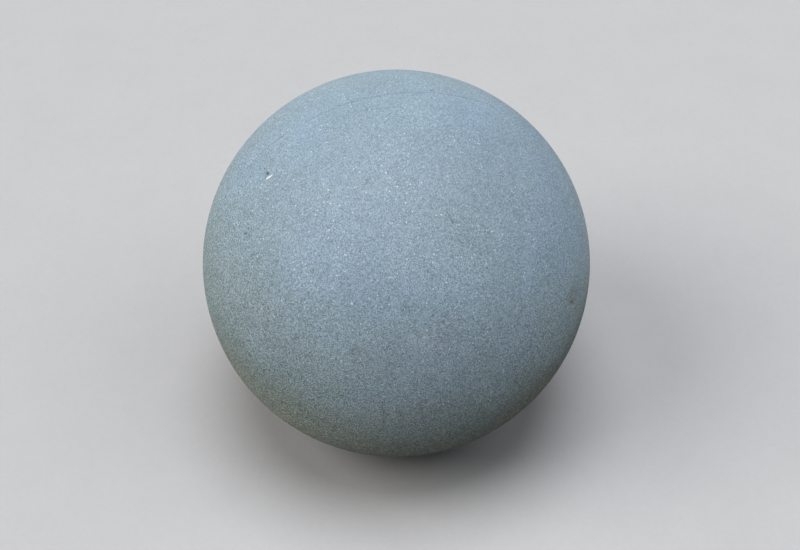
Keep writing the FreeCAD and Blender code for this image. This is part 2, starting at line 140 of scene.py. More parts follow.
def cell_values(cells, seed):
    """A repeatable number from 0 to 1 for each whole-numbered cell: large odd factors scatter the cells."""
    mixed = np.full(cells.shape[:-1], 374761393 * (seed + 1), dtype=np.uint64)
    for part, factor in zip(np.moveaxis(cells, -1, 0), (73856093, 19349663, 83492791)):
        mixed ^= (part.astype(np.int64) * factor).astype(np.uint64)
        mixed *= np.uint64(0x9E3779B97F4A7C15)
        mixed ^= mixed >> np.uint64(29)
    return (mixed & np.uint64(0xFFFFFF)).astype(float) / 0xFFFFFF


def noise(points, size, seed):
    """Smooth noise from -1 to 1 whose bumps are about one size across."""
    scaled = points / size
    cells = np.floor(scaled).astype(np.int64)
    t = scaled - cells
    t = t * t * (3.0 - 2.0 * t)
    total = np.zeros(len(points))
    for corner in np.ndindex(2, 2, 2):
        weight = np.prod(np.where(corner, t, 1.0 - t), axis=-1)
        total += weight * cell_values(cells + np.array(corner), seed)
    return 2.0 * total - 1.0


# The marks on the ball: azimuth and elevation in degrees, then length, width, turn in degrees and depth.
# The smudges, spots, patches and stains have no depth.
CHIP = Mark(-83.7, 50.6, 11.0 * MM, 3.6 * MM, 80, 0.7 * MM)
CHIP_PIT = Mark(-86.3, 50.4, 4.6 * MM, 3.2 * MM, 75, 1.6 * MM)
SCRATCHES = (
    Mark(13.7, 55.5, 8.4 * MM, 2.0 * MM, -77, 0.55 * MM),
    Mark(14.2, 53.3, 6.4 * MM, 2.2 * MM, -83, 0.5 * MM),
)
PITS = (
    Mark(-90.4, 49.8, 3.4 * MM, 1.8 * MM, 10, 1.0 * MM),
    Mark(-91.6, 48.4, 2.0 * MM, 1.8 * MM, 0, 0.8 * MM),
    Mark(-103.1, 42.1, 3.4 * MM, 2.0 * MM, 70, 0.9 * MM),
    Mark(-97.4, 32.1, 2.4 * MM, 2.0 * MM, 0, 0.9 * MM),
    Mark(-73.1, 35.5, 2.4 * MM, 2.0 * MM, 0, 0.8 * MM),
    Mark(131.2, 73.3, 3.4 * MM, 2.4 * MM, 40, 1.0 * MM),
    Mark(28.0, 9.3, 2.0 * MM, 1.8 * MM, 0, 0.7 * MM),
    Mark(-40.3, 12.3, 2.0 * MM, 1.8 * MM, 0, 0.7 * MM),
)
SMUDGES = (
    Mark(96.8, 76.4, 11.0 * MM, 5.0 * MM, -91),
    Mark(-30.7, 65.5, 9.0 * MM, 6.0 * MM, 20),
    Mark(-86.0, 50.4, 9.0 * MM, 8.0 * MM, 80),
)
PALE_SPOTS = (
    Mark(109.5, 74.8, 9.0 * MM, 6.0 * MM, -100),
    Mark(-21.8, 59.9, 3.0 * MM, 2.6 * MM, 0),
    Mark(29.3, 53.3, 3.4 * MM, 2.4 * MM, 0),
    Mark(27.9, 51.0, 3.0 * MM, 2.4 * MM, 0),
    Mark(13.7, 5.2, 22.0 * MM, 16.0 * MM, 0),
    Mark(-2.7, 22.0, 58.0 * MM, 28.0 * MM, -7),
)
# Broad patches of painted shade.
SHADE_PATCHES = (
    Mark(41.5, 61.6, 130.0 * MM, 110.0 * MM, 20),
    Mark(-5.0, 25.0, 165.0 * MM, 95.0 * MM, 0),
    Mark(52.0, 7.0, 120.0 * MM, 75.0 * MM, 60),
)
BROWN_STAINS = (
    Mark(50.2, 11.2, 19.0 * MM, 5.0 * MM, -35),
    Mark(51.6, 13.4, 30.0 * MM, 22.0 * MM, -35),
    Mark(34.3, 23.2, 18.0 * MM, 12.0 * MM, -60),
)

# What is painted on the marks: how strong it is, how soft its edge, its noise's seed and how ragged it is.
Paint = namedtuple("Paint", "mark amount soft seed rough")

PALE_PAINT = (
    Paint(CHIP, 1.0, 0.25, 51, 0.25),
    *(Paint(mark, 0.17, 0.6, 60 + number, 0.5) for number, mark in enumerate(PALE_SPOTS)),
)
# The dark paint: darkening in the pit by the chip, the scratches and the pits, dirt in the smudges, and
# painted shade in the broad patches.
DARK_PAINT = (
    Paint(CHIP_PIT, 0.95, 0.35, 71, 0.15),
    *(Paint(mark, 0.50, 0.7, 71, 0.35) for mark in SCRATCHES),
    *(Paint(mark, 0.85, 0.5, 71, 0.15) for mark in PITS),
    *(Paint(mark, 0.16, 0.7, 72, 0.6) for mark in SMUDGES),
    *(Paint(mark, amount, 1.0, 76, 0.3) for mark, amount in zip(SHADE_PATCHES, (0.10, 0.14, 0.13))),
)
BROWN_PAINT = tuple(
    Paint(mark, amount, 0.6, 73, 0.5) for mark, amount in zip(BROWN_STAINS, (1.0, 0.34, 0.12))
)

# How strongly the painted shade and damp towards the ground, the joint's painted shadow and its painted
# highlight are painted.
GROUND_SHADE_AND_DAMP = 0.58
JOINT_SHADOW_AMOUNT = 0.09
JOINT_HIGHLIGHT_AMOUNT = 0.26

# The marks lie in the skin: the paint fades out between these depths.
PAINT_DEPTH = 2.5 * MM
PAINT_END = 5.0 * MM


def random_pinholes(pole, seed):
    """Casting pinholes scattered over one half, most of them tiny."""
    source = np.random.default_rng(seed)
    holes = []
    while len(holes) < PINHOLES_PER_HALF:
        place = source.normal(size=3)
        place /= np.linalg.norm(place)
        size = (1.1 + 1.5 * source.random() ** 4) * MM
        stretch = 1.0 + 0.5 * source.random()
        turn = 180.0 * source.random()
        if place @ pole < 0.02:
            continue
        azimuth = math.degrees(math.atan2(place[0], -place[1]))
        elevation = math.degrees(math.asin(place[2]))
        holes.append(Mark(azimuth, elevation, size * stretch, size, turn, 0.45 * size))
    return holes


def dent(mark, directions):
    """The depth of a rounded dent at each direction."""
    reach = mark_distance(mark, directions)
    return mark.depth * (1.0 - smooth(0.35, 1.1, reach))


def weathering(directions):
    """How far the damp and growth from the ground have roughened the surface, from 0 to 1."""
    height = directions[:, 2] + 0.10 * noise(directions, 0.35, 31) + 0.05 * noise(directions, 0.09, 32)
    return 1.0 - smooth(-0.55, 0.05, height)


def surface_radius(directions, holes):
    """The distance from the ball's centre to its outer surface."""
    points = directions * BALL_RADIUS
    radius = np.full(len(points), BALL_RADIUS - RELIEF_ROOM)
    radius += 0.16 * MM * noise(points, 90 * MM, 1) + 0.08 * MM * noise(points, 30 * MM, 2)
    rough = weathering(directions)
    radius += (0.03 + 0.12 * rough) * MM * noise(points, 4.2 * MM, 3)
    radius += (0.02 + 0.12 * rough) * MM * noise(points, 2.5 * MM, 4)
    for mark in (CHIP, CHIP_PIT, *SCRATCHES, *PITS, *holes):
        radius -= dent(mark, directions)
    down = np.maximum(-directions[:, 2], 1e-6)
    seat = (CENTRE_HEIGHT - 0.05 * MM * (1.0 + noise(points, 3.0 * MM, 5))) / down
    overlap = np.maximum(1.0 - np.abs(radius - seat) / SEAT_ROUNDING, 0.0)
    return np.minimum(radius, seat) - overlap**2 * SEAT_ROUNDING / 4


def disc_of_square(points):
    """Map a square onto a disc so that equal areas stay equal."""
    a, b = points[:, 0], points[:, 1]
    wide = np.abs(a) > np.abs(b)
    size = np.where(wide, a, b)
    with np.errstate(divide="ignore", invalid="ignore"):
        turn = np.where(wide, math.pi / 4 * b / a, math.pi / 2 - math.pi / 4 * a / b)
    turn = np.where(size == 0, 0.0, turn)
    return size * np.cos(turn), size * np.sin(turn)


def hemisphere(points, low_height):
    """Directions over a half sphere for points of a square, down to a small height over its base."""
    across, up = disc_of_square(points)
    reach = across**2 + up**2
    height = 1.0 - reach * (1.0 - low_height)
    level = np.sqrt(np.maximum(1.0 - height**2, 0.0))
    length = np.sqrt(np.maximum(reach, 1e-18))
    return np.stack([across / length * level, up / length * level, height], axis=1)


class Grid:
    """A square grid of cells, with chosen cells split finely and no gaps where the two meet."""

    def __init__(self, cells, fine, steps):
        self.cells = cells
        self.steps = steps
        self.fine = fine
        self.keys = {}
        self.places = []
        self.faces = []
        for i in range(cells):
            for j in range(cells):
                if fine[i, j]:
                    self.split_cell(i, j)
        for i in range(cells):
            for j in range(cells):
                if not fine[i, j]:
                    self.keep_cell(i, j)

    def point(self, i, j):
        """The index of the point at a place counted in fine steps."""
        key = (i, j)
        if key not in self.keys:
            self.keys[key] = len(self.places)
            self.places.append(key)
        return self.keys[key]

    def split_cell(self, i, j):
        """The small cells that one cell is split into."""
        k = self.steps
        for a in range(i * k, i * k + k):
            for b in range(j * k, j * k + k):
                corners = ((a, b), (a + 1, b), (a + 1, b + 1), (a, b + 1))
                self.faces.append([self.point(*corner) for corner in corners])

    def keep_cell(self, i, j):
        """One cell, taking in any points that a split neighbour has put on its sides."""
        k = self.steps
        a, b = i * k, j * k
        outline = []
        for step in range(k):
            outline.append((a + step, b))
        for step in range(k):
            outline.append((a + k, b + step))
        for step in range(k):
            outline.append((a + k - step, b + k))
        for step in range(k):
            outline.append((a, b + k - step))
        corners = {(a, b), (a + k, b), (a + k, b + k), (a, b + k)}
        face = [self.point(*place) for place in outline if place in corners or place in self.keys]
        self.faces.append(face)

    def rim(self):
        """The indices of the points round the grid's edge, in order."""
        last = self.cells * self.steps
        path = [(i, 0) for i in range(last)]
        path += [(last, j) for j in range(last)]
        path += [(i, last) for i in range(last, 0, -1)]
        path += [(0, j) for j in range(last, 0, -1)]
        return [self.keys[place] for place in path if place in self.keys]

    def squares(self):
        """The points' places on a square from -1 to 1."""
        return np.array(self.places) * (2.0 / (self.cells * self.steps)) - 1.0


def cell_middles(cells):
    """The middle of each cell of the grid, on a square from -1 to 1."""
    middles = (np.arange(cells) + 0.5) * (2.0 / cells) - 1.0
    a, b = np.meshgrid(middles, middles, indexing="ij")
    return np.stack([a.ravel(), b.ravel()], axis=1)


def fine_cells(axes, holes, low_height):
    """Which cells are near enough to a mark to need splitting."""
    directions = hemisphere(cell_middles(GRID_CELLS), low_height) @ axes
    near = np.zeros(len(directions), dtype=bool)
    for mark in (CHIP, CHIP_PIT, *SCRATCHES, *PITS, *holes):
        wider = mark._replace(length=mark.length + 2 * FINE_MARGIN, width=mark.width + 2 * FINE_MARGIN)
        near |= mark_distance(wider, directions) < 1.0
    return near.reshape(GRID_CELLS, GRID_CELLS)


def add_ring(points, faces, previous, ring):
    """Join a ring of new points to the ring before it with one quad to each step."""
    start = sum(len(block) for block in points)
    points.append(ring)
    count = len(ring)
    current = list(range(start, start + count))
    for i in range(count):
        j = (i + 1) % count
        faces.append([previous[j], previous[i], current[i], current[j]])
    return current


def add_coarse_ring(points, faces, previous, turns, ring_turns, ring):
    """Join a ring of fewer points, each to the nearest point of the ring before it."""
    start = sum(len(block) for block in points)
    points.append(ring)
    count = len(ring)
    total = len(previous)
    nearest = []
    for turn in ring_turns:
        gaps = np.abs((turns - turn + math.pi) % (2 * math.pi) - math.pi)
        nearest.append(int(np.argmin(gaps)))
    for i in range(count):
        j = (i + 1) % count
        a, b = nearest[i], nearest[j]
        span = (b - a) % total
        outer = [previous[(b - step) % total] for step in range(span + 1)]
        faces.append(outer + [start + i, start + j])
    return list(range(start, start + count))


def add_hollow(points, faces, previous, turns, axes):
    """Carry a half's joint face in to its hollow, and line the hollow with rings up to its top."""
    ring_turns = np.arange(RING_POINTS) * 2 * math.pi / RING_POINTS - math.pi
    if (turns[1] - turns[0] + math.pi) % (2 * math.pi) - math.pi < 0:
        ring_turns = -ring_turns
    circle = np.stack([np.cos(ring_turns), np.sin(ring_turns)], axis=1) * CORE_RADIUS
    mouth = np.column_stack([circle, np.full(RING_POINTS, FACE_HEIGHT)])
    previous = add_coarse_ring(points, faces, previous, turns, ring_turns, mouth @ axes)
    start_angle = math.asin(FACE_HEIGHT / CORE_RADIUS)
    for i in range(1, CAVITY_RINGS):
        angle = start_angle + (math.pi / 2 - start_angle) * i / CAVITY_RINGS
        level = np.full(RING_POINTS, CORE_RADIUS * math.sin(angle))
        ring = np.column_stack([circle * math.cos(angle), level])
        previous = add_ring(points, faces, previous, ring @ axes)
    top = sum(len(block) for block in points)
    points.append((axes[2] * CORE_RADIUS)[None, :])
    for i in range(RING_POINTS):
        faces.append([previous[(i + 1) % RING_POINTS], previous[i], top])


def half_mesh(name, pole, seed):
    """One cast half: its weathered outside, worn rim, joint face and hollow."""
    axes = np.stack([X_AXIS, np.cross(pole, X_AXIS), pole])
    low_height = (FACE_HEIGHT + RIM_BAND) / BALL_RADIUS
    holes = random_pinholes(pole, seed)
    grid = Grid(GRID_CELLS, fine_cells(axes, holes, low_height), FINE_STEPS)
    local = hemisphere(grid.squares(), low_height)
    directions = local @ axes
    points = [directions * surface_radius(directions, holes)[:, None]]
    faces = [list(face) for face in grid.faces]
    rim = grid.rim()
    turns = np.arctan2(local[rim, 1], local[rim, 0])
    flat = np.stack([np.cos(turns), np.sin(turns)], axis=1)
    previous = rim
    wear = 1.0 + 0.8 * noise(directions[rim] * BALL_RADIUS, 14 * MM, seed) ** 2
    arris = ARRIS_RADIUS * wear
    for height in RIM_LEVELS:
        slope = (FACE_HEIGHT + height * MM) / BALL_RADIUS
        ring = np.column_stack([flat * math.sqrt(1 - slope**2), np.full(len(rim), slope)])
        ring_directions = ring @ axes
        radius = surface_radius(ring_directions, holes)
        short = np.clip(1.0 - height * MM / arris, 0.0, 1.0)
        radius -= arris * (1.0 - np.sqrt(np.maximum(1.0 - short**2, 0.0)))
        previous = add_ring(points, faces, previous, ring_directions * radius[:, None])
    for share in FACE_SHARES:
        reach = radius + share * (CORE_RADIUS - radius)
        ring = np.column_stack([flat * reach[:, None], np.full(len(rim), FACE_HEIGHT)])
        previous = add_ring(points, faces, previous, ring @ axes)
    add_hollow(points, faces, previous, turns, axes)
    places = np.concatenate(points) + CENTRE
    mesh = bpy.data.meshes.new(name)
    mesh.from_pydata(places.tolist(), [], faces)
    mesh.validate()
    mesh.update()
    return new_object(name, mesh)


def new_object(name, mesh):
    """An object for a mesh, in the scene."""
    item = bpy.data.objects.new(name, mesh)
    bpy.context.scene.collection.objects.link(item)
    return item


def joined_copy(name, nodes):
    """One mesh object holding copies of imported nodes' shapes."""
    points = []
    faces = []
    for node in nodes:
        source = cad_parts[node]
        start = len(points)
        points += [tuple(vertex.co) for vertex in source.data.vertices]
        faces += [[start + index for index in face.vertices] for face in source.data.polygons]
    mesh = bpy.data.meshes.new(name)
    mesh.from_pydata(points, [], faces)
    return new_object(name, mesh)


def cut_away(piece, cutter):
    """Cut a closed mesh out of a piece, and delete the cutter."""
    cut = piece.modifiers.new("cut", "BOOLEAN")
    cut.operation = "DIFFERENCE"
    cut.solver = "EXACT"
    cut.object = cutter
    graph = bpy.context.evaluated_depsgraph_get()
    mesh = bpy.data.meshes.new_from_object(piece.evaluated_get(graph))
    piece.modifiers.clear()
    old = piece.data
    piece.data = mesh
    bpy.data.meshes.remove(old)
    bpy.data.objects.remove(cutter)


def lathe_mesh(name, profile):
    """A closed solid of revolution about Z from a profile of (radius, height) that starts and ends on Z."""
    points = [(0.0, 0.0, profile[0][1])]
    faces = []
    for reach, height in profile[1:-1]:
        for step in range(LATHE_STEPS):
            turn = 2 * math.pi * step / LATHE_STEPS
            points.append((reach * math.cos(turn), reach * math.sin(turn), height))
    points.append((0.0, 0.0, profile[-1][1]))
    rings = len(profile) - 2
    for step in range(LATHE_STEPS):
        after = (step + 1) % LATHE_STEPS
        faces.append([0, 1 + after, 1 + step])
        for ring in range(rings - 1):
            low, high = 1 + ring * LATHE_STEPS, 1 + (ring + 1) * LATHE_STEPS
            faces.append([low + step, low + after, high + after, high + step])
        last = 1 + (rings - 1) * LATHE_STEPS
        faces.append([last + step, last + after, len(points) - 1])
    mesh = bpy.data.meshes.new(name)
    mesh.from_pydata(points, [], faces)
    return new_object(name, mesh)


def hull_copy(name, node):
    """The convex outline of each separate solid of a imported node, as one mesh object."""
    source = bmesh.new()
    source.from_mesh(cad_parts[node].data)
    bmesh.ops.remove_doubles(source, verts=source.verts, dist=1e-6)
    waiting = set(source.verts)
    hulls = bmesh.new()
    while waiting:
        island = {waiting.pop()}
        edge_of_island = set(island)
        while edge_of_island:
            found = {edge.other_vert(vertex) for vertex in edge_of_island for edge in vertex.link_edges}
            edge_of_island = found - island
            island |= edge_of_island
        waiting -= island
        solid = bmesh.new()
        for vertex in sorted(island, key=lambda item: item.index):
            solid.verts.new(vertex.co)
        bmesh.ops.convex_hull(solid, input=solid.verts)
        loose = [vertex for vertex in solid.verts if not vertex.link_faces]
        bmesh.ops.delete(solid, geom=loose, context="VERTS")
        part = bpy.data.meshes.new("part")
        solid.to_mesh(part)
        hulls.from_mesh(part)
        bpy.data.meshes.remove(part)
        solid.free()
    mesh = bpy.data.meshes.new(name)
    hulls.to_mesh(mesh)
    hulls.free()
    source.free()
    return new_object(name, mesh)


def cut_beds(half, side):
    """Cut the beds of everything cast into a half, with those pieces' own shapes."""
    bars = [f"{name}_{side}" for name in ("rim_hoop", "crown_hoop", "outer_stirrup", "inner_stirrup")]
    cut_away(half, joined_copy("bars", bars))
    cut_away(half, joined_copy("spacers", [f"core_spacers_{side}"]))
    cut_away(half, hull_copy("sleeves", f"dowel_resin_{side}"))


def cut_socket_bed(half):
    """Cut the cap's recess, the socket's bed above it and the bed of the cross bar."""
    profile = (
        (0.0, -CUT_MARGIN),
        (RECESS_RADIUS, -CUT_MARGIN),
        (RECESS_RADIUS, RECESS_DEPTH),
        (SOCKET_RADIUS, RECESS_DEPTH),
        (SOCKET_RADIUS, SOCKET_TOP),
        (0.0, SOCKET_TOP),
    )
    cut_away(half, lathe_mesh("socket_bed", profile))
    cut_away(half, joined_copy("cross_bar", ["socket_cross_bar"]))


def finish_piece(piece, material):
    """Smooth a piece's faces, keep its sharp edges and give it its material."""
    mesh = piece.data
    mesh.polygons.foreach_set("use_smooth", [True] * len(mesh.polygons))
    mesh.set_sharp_from_angle(angle=SHARP_ANGLE)
    mesh.materials.clear()
    mesh.materials.append(material)
    mesh.update()


def mortar_mesh():
    """The mortar between the halves: a thin ring, pointed unevenly in the joint."""
    axes = np.stack([X_AXIS, np.cross(FRONT_POLE, X_AXIS), FRONT_POLE])
    turns = np.arange(MORTAR_POINTS) * 2 * math.pi / MORTAR_POINTS
    flat = np.stack([np.cos(turns), np.sin(turns)], axis=1)
    directions = np.column_stack([flat, np.zeros(MORTAR_POINTS)]) @ axes
    outer = surface_radius(directions, [])
    places = directions * BALL_RADIUS
    recess = (0.04 + 0.03 * noise(places, 26 * MM, 41) + 0.03 * noise(places, 4 * MM, 42)) * MM
    face = outer - recess
    half_gap = FACE_HEIGHT - FIT_GAP
    inner = np.full(MORTAR_POINTS, CORE_RADIUS + FIT_GAP)
    sections = (
        (inner, -half_gap),
        (face - 0.6 * MM, -half_gap),
        (face - 0.12 * MM, -half_gap * 0.8),
        (face, -half_gap * 0.3),
        (face, half_gap * 0.3),
        (face - 0.12 * MM, half_gap * 0.8),
        (face - 0.6 * MM, half_gap),
        (inner, half_gap),
    )
    rings = []
    for reach, height in sections:
        local = np.column_stack([flat * reach[:, None], np.full(MORTAR_POINTS, height)])
        rings.append(local @ axes + CENTRE)
    faces = []
    for ring in range(len(rings)):
        after = (ring + 1) % len(rings)
        for i in range(MORTAR_POINTS):
            j = (i + 1) % MORTAR_POINTS
            start, end = ring * MORTAR_POINTS, after * MORTAR_POINTS
            faces.append([start + i, start + j, end + j, end + i])
    mesh = bpy.data.meshes.new("joint_pointing")
    mesh.from_pydata(np.concatenate(rings).tolist(), [], faces)
    return new_object("joint_pointing", mesh)


class Shader:
    """A node material under construction, with one method for each kind of node it uses."""

    def __init__(self, name):
        self.material = bpy.data.materials.new(name)
        self.material.use_nodes = True
        self.tree = self.material.node_tree
        self.surface = self.tree.nodes["Principled BSDF"]
        self.place = self.add("ShaderNodeTexCoord").outputs["Object"]
        self.height = self.add("ShaderNodeSeparateXYZ", {0: self.place}).outputs["Z"]

    def add(self, kind, inputs=None, **settings):
        """Add a node, set its properties and fill its inputs with values or links."""
        node = self.tree.nodes.new(kind)
        for name, value in settings.items():
            setattr(node, name, value)
        for key, value in (inputs or {}).items():
            self.put(node.inputs[key], value)
        return node

    def put(self, socket, value):
        """Link a node's output to an input, or set the input's value."""
        if isinstance(value, bpy.types.NodeSocket):
            self.tree.links.new(value, socket)
        else:
            socket.default_value = value

    def set(self, **values):
        """Fill the surface's inputs; an underscore in a name stands for a space."""
        for name, value in values.items():
            self.put(self.surface.inputs[name.replace("_", " ")], value)

    def maths(self, operation, first, second):
        """One calculation with two numbers."""
        return self.add("ShaderNodeMath", {0: first, 1: second}, operation=operation).outputs[0]

    def times(self, first, second):
        return self.maths("MULTIPLY", first, second)

    def plus(self, first, second):
        return self.maths("ADD", first, second)

    def span(self, value, low, high, out_low=0.0, out_high=1.0, smooth_step=True):
        """Map a value from one range to another, held at the ends."""
        kind = "SMOOTHSTEP" if smooth_step else "LINEAR"
        inputs = {"Value": value, 1: low, 2: high, 3: out_low, 4: out_high}
        return self.add("ShaderNodeMapRange", inputs, interpolation_type=kind).outputs[0]

    def noise(self, size, detail=3.0, roughness=0.55, place=None):
        """Noise from 0 to 1 with features about one size across."""
        inputs = {
            "Vector": place or self.place,
            "Scale": 1.0 / size,
            "Detail": detail,
            "Roughness": roughness,
        }
        return self.add("ShaderNodeTexNoise", inputs).outputs["Fac"]

    def grains(self, size, randomness=1.0):
        """Cells about one size across: a random number for each, and the distance from its middle."""
        inputs = {"Vector": self.place, "Scale": 1.0 / size, "Randomness": randomness}
        node = self.add("ShaderNodeTexVoronoi", inputs)
        split = self.add("ShaderNodeSeparateColor", {"Color": node.outputs["Color"]})
        return split.outputs, node.outputs["Distance"]

    def mix(self, amount, first, second):
        """Mix two colours."""
        node = self.tree.nodes.new("ShaderNodeMix")
        node.data_type = "RGBA"
        self.put(node.inputs[0], amount)
        self.put(node.inputs[6], first)
        self.put(node.inputs[7], second)
        return node.outputs[2]

    def shade(self, colour, factor):
        """Multiply a colour by a number."""
        if not isinstance(colour, bpy.types.NodeSocket):
            colour = colour[:3]
        node = self.add("ShaderNodeVectorMath", {0: colour}, operation="SCALE")
        self.put(node.inputs["Scale"], factor)
        return node.outputs[0]

    def bump(self, height, distance, strength=1.0):
        """Relief for the surface: the height's range stands for a distance."""
        inputs = {"Height": height, "Distance": distance, "Strength": strength}
        self.set(Normal=self.add("ShaderNodeBump", inputs).outputs[0])

    def layer(self, name):
        """A painted layer of the mesh, as its four channels."""
        node = self.add("ShaderNodeAttribute", attribute_name=name)
        split = self.add("ShaderNodeSeparateColor", {"Color": node.outputs["Color"]})
        return [*split.outputs, node.outputs["Alpha"]]


def grey(level, warmth=0.0):
    """A grey with a little warmth, as a colour."""
    return (level * (1 + warmth), level, level * (1 - warmth), 1.0)


# The stone's colours; the blue in the paste's greys is partly painted sky light.
STONE_BLUE_SKY_TINT = (0.268, 0.362, 0.452, 1.0)
STONE_GREEN_SKY_TINT = (0.270, 0.358, 0.425, 1.0)
GROWTH = (0.248, 0.300, 0.250, 1.0)
BROWN = (0.175, 0.185, 0.155, 1.0)
FRESH_AND_HIGHLIGHT_COLOUR = (0.74, 0.78, 0.80, 1.0)
# Pale grains, and painted glints.
PALE_GRAIN_AND_GLINT = (0.72, 0.78, 0.80, 1.0)
LICHEN_GRAIN = (0.46, 0.48, 0.30, 1.0)
SPLASHED_GRIT = (0.78, 0.76, 0.56, 1.0)

# How strongly the stone's grains, growth, dirt and painted shade show.
FLAKE_SIZE = 3.2 * MM
COARSE_CONTRAST = 0.07
FINE_CONTRAST = 1.30
DARKEST_GRAIN = 0.15
LICHEN_AMOUNT = 0.85
DARK_GRAIN_SHADE = 0.74
GROWTH_DAMP_AND_SHADE = 0.74
DIRT_AND_SHADE_DARKEST = 0.2

# The beads of the foam cores.
BEAD_SIZE = 4.0 * MM
BEAD_RANDOMNESS = 0.8


def stone_paste(s, growth, brown):
    """The paste's colour: clouded blue-greys in broad patches, whose blue is partly painted sky light, with
    growth and brown stain over them.
    """
    base = s.mix(s.span(s.noise(130 * MM, 2.0), 0.35, 0.65), STONE_BLUE_SKY_TINT, STONE_GREEN_SKY_TINT)
    cloud = s.span(s.noise(55 * MM, 3.0), 0.25, 0.75, 0.94, 1.06, False)
    blotch = s.span(s.noise(16 * MM, 3.0, 0.6), 0.25, 0.75, 0.96, 1.04, False)
    base = s.shade(base, s.times(cloud, blotch))
    base = s.mix(growth, base, GROWTH)
    return s.mix(brown, base, BROWN)


def sandy_shade(s, base, growth, sand_middle, silt):
    """Light and dark grains: stronger where there is growth, and weaker on the crown of the ball."""
    crown = s.span(s.height, 0.40, 0.47, 1.0, 0.78)
    contrast = s.times(s.span(growth, 0.05, 0.60, 0.90, 1.75, False), crown)
    coarse = s.times(s.maths("SUBTRACT", 0.45, sand_middle), COARSE_CONTRAST)
    fine = s.times(s.maths("SUBTRACT", silt, 0.5), FINE_CONTRAST)
    uneven = s.times(s.plus(coarse, fine), contrast)
    return s.shade(base, s.maths("MAXIMUM", s.plus(1.0, uneven), DARKEST_GRAIN))


def bright_flakes_and_glints(s, base, gritty):
    """Scattered bright grains and painted glints, which are larger, commoner and yellower where grit has
    splashed up.
    """
    flake, middle = s.grains(FLAKE_SIZE)
    often = s.plus(flake[0], s.times(gritty, 0.20))
    edge = s.span(gritty, 0.0, 1.0, 0.36, 0.60, False)
    bright = s.times(s.span(often, 0.60, 0.64), s.span(middle, edge, 0.20))
    rarity = s.span(gritty, 0.0, 1.0, 2.5, 1.0, False)
    speck = s.mix(gritty, PALE_GRAIN_AND_GLINT, SPLASHED_GRIT)
    # Bright grains and painted glints.
    return s.mix(s.times(bright, s.maths("POWER", flake[1], rarity)), base, speck)


def weathered_stone(name, sand_size, silt_size):
    """Weathered cement and sand: blue-grey paste with packed grains, and growth towards the ground."""
    s = Shader(name)
    fresh_and_highlight, dirt_and_shade, brown, growth = s.layer("marks")
    gritty = s.span(growth, 0.48, 0.82)
    sand, sand_middle = s.grains(sand_size)
    silt = s.grains(silt_size)[0]
    grain = s.span(sand_middle, 0.6, 0.3)
    base = stone_paste(s, growth, brown)
    base = sandy_shade(s, base, growth, sand_middle, silt[1])
    base = bright_flakes_and_glints(s, base, gritty)
    lichen = s.times(s.span(sand[2], 0.74, 0.86), s.span(growth, 0.40, 0.80))
    crumb = s.mix(gritty, LICHEN_GRAIN, SPLASHED_GRIT)
    base = s.mix(s.times(s.times(lichen, grain), LICHEN_AMOUNT), base, crumb)
    dark = s.times(s.span(sand[2], 0.985, 0.995), grain)
    base = s.shade(base, s.span(dark, 0.0, 1.0, 1.0, DARK_GRAIN_SHADE, False))
    # Darker with growth: the growth's own damp darkness, and painted shade towards the ground.
    base = s.shade(base, s.span(growth, 0.38, 0.85, 1.0, GROWTH_DAMP_AND_SHADE))
    # Darker with dirt and the dark marks, and with the painted shade from the layer.
    base = s.shade(base, s.span(dirt_and_shade, 0.0, 1.0, 1.0, DIRT_AND_SHADE_DARKEST, False))
    # Paler with the chip and pale spots, and with the joint's painted highlight.
    base = s.mix(s.maths("POWER", fresh_and_highlight, 1.7), base, FRESH_AND_HIGHLIGHT_COLOUR)
    s.set(Base_Color=base, Specular_IOR_Level=0.5, Diffuse_Roughness=0.5)
    s.set(Roughness=s.span(s.noise(6 * MM, 2.0), 0.3, 0.7, 0.60, 0.70, False))
    grain_tops = s.span(sand_middle, 0.0, 0.8, 0.6, 0.0, False)
    s.bump(s.plus(grain_tops, s.noise(1.2 * MM, 3.0, 0.7)), 0.08 * MM, 0.8)
    return s.material


def plain_grain(name, colour, size, spread, rough, relief, speck=None):
    """A material of one colour broken up by grains and clouds, with a matching relief."""
    s = Shader(name)
    cells, middle = s.grains(size)
    value = s.span(cells[0], 0.0, 1.0, 1 - spread, 1 + spread, False)
    cloud = s.span(s.noise(size * 14, 3.0), 0.3, 0.7, 1 - spread, 1 + spread, False)
    base = s.shade(colour, s.times(value, cloud))
    if speck:
        base = s.mix(s.times(s.span(cells[1], 0.93, 0.97), s.span(middle, 0.6, 0.3)), base, speck)
    s.set(Base_Color=base)
    s.set(Roughness=s.span(s.noise(size * 5, 2.0), 0.3, 0.7, rough - 0.08, rough + 0.06, False))
    s.bump(s.plus(s.noise(size * 1.5, 3.0), s.span(middle, 0.0, 0.8, 0.6, 0.0, False)), relief, 0.8)
    return s.material


def foam():
    """Expanded foam: pale beads pressed together, with darker seams between them."""
    s = Shader("core_foam_beads")
    cells = s.grains(BEAD_SIZE, BEAD_RANDOMNESS)[0]
    inputs = {"Vector": s.place, "Scale": 1.0 / BEAD_SIZE, "Randomness": BEAD_RANDOMNESS}
    edge = s.add("ShaderNodeTexVoronoi", inputs, feature="DISTANCE_TO_EDGE").outputs["Distance"]
    value = s.times(s.span(cells[0], 0.0, 1.0, 0.95, 1.0, False), s.span(edge, 0.0, 0.10, 0.72, 1.0))
    s.set(Base_Color=s.shade((0.83, 0.84, 0.83, 1.0), value), Roughness=s.span(edge, 0.0, 0.1, 0.95, 0.7))
    s.bump(s.span(edge, 0.0, 0.22), 0.5 * MM, 0.9)
    return s.material


